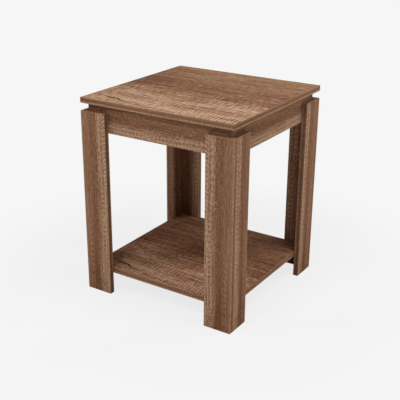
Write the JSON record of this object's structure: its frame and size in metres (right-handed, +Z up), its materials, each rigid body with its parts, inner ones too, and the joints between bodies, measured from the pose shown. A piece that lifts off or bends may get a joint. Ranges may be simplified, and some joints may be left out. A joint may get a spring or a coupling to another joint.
{
  "type": "end table",
  "caption": "Square end table with a thin top over a shadow gap, an apron frame, L-section corner legs and a square lower shelf close to the floor.",
  "frame": {"origin": "on the floor, at the centre of the footprint", "axes": "+Z up, -Y the front, +X to the right seen from the front"},
  "size_m": [0.5, 0.5, 0.595],
  "materials": {
    "decor_board": "matt wood-decor foil on particleboard, brown oak with saw marks",
    "decor_edging": "matt wood-decor edging strip",
    "beech_dowel": "bare beech",
    "bolt_steel": "zinc-plated steel",
    "cam_zinc": "die-cast zinc",
    "screw_steel": "zinc-plated steel"
  },
  "bodies": {
    "root": {"apron_back": "decor_board", "apron_back_edging": "decor_edging", "apron_cam_bolts": "bolt_steel", "apron_cam_locks": "cam_zinc", "apron_dowels": "beech_dowel", "apron_front": "decor_board", "apron_front_edging": "decor_edging", "apron_left": "decor_board", "apron_left_edging": "decor_edging", "apron_right": "decor_board", "apron_right_edging": "decor_edging", "leg_back_left_face": "decor_board", "leg_back_left_face_edging_corner": "decor_edging", "leg_back_left_face_edging_inner": "decor_edging", "leg_back_left_face_edging_top": "decor_edging", "leg_back_left_side": "decor_board", "leg_back_left_side_edging_inner": "decor_edging", "leg_back_left_side_edging_top": "decor_edging", "leg_back_right_face": "decor_board", "leg_back_right_face_edging_corner": "decor_edging", "leg_back_right_face_edging_inner": "decor_edging", "leg_back_right_face_edging_top": "decor_edging", "leg_back_right_side": "decor_board", "leg_back_right_side_edging_inner": "decor_edging", "leg_back_right_side_edging_top": "decor_edging", "leg_dowels": "beech_dowel", "leg_face_screws": "screw_steel", "leg_front_left_face": "decor_board", "leg_front_left_face_edging_corner": "decor_edging", "leg_front_left_face_edging_inner": "decor_edging", "leg_front_left_face_edging_top": "decor_edging", "leg_front_left_side": "decor_board", "leg_front_left_side_edging_inner": "decor_edging", "leg_front_left_side_edging_top": "decor_edging", "leg_front_right_face": "decor_board", "leg_front_right_face_edging_corner": "decor_edging", "leg_front_right_face_edging_inner": "decor_edging", "leg_front_right_face_edging_top": "decor_edging", "leg_front_right_side": "decor_board", "leg_front_right_side_edging_inner": "decor_edging", "leg_front_right_side_edging_top": "decor_edging", "leg_side_screws": "screw_steel", "shelf": "decor_board", "shelf_cam_bolts": "bolt_steel", "shelf_cam_locks": "cam_zinc", "shelf_dowels": "beech_dowel", "shelf_edging_back": "decor_edging", "shelf_edging_front": "decor_edging", "shelf_edging_left": "decor_edging", "shelf_edging_right": "decor_edging", "table_top": "decor_board", "table_top_edging_back": "decor_edging", "table_top_edging_front": "decor_edging", "table_top_edging_left": "decor_edging", "table_top_edging_right": "decor_edging", "top_cam_bolts": "bolt_steel", "top_cam_locks": "cam_zinc", "top_dowels": "beech_dowel"}
  },
  "joints": []
}
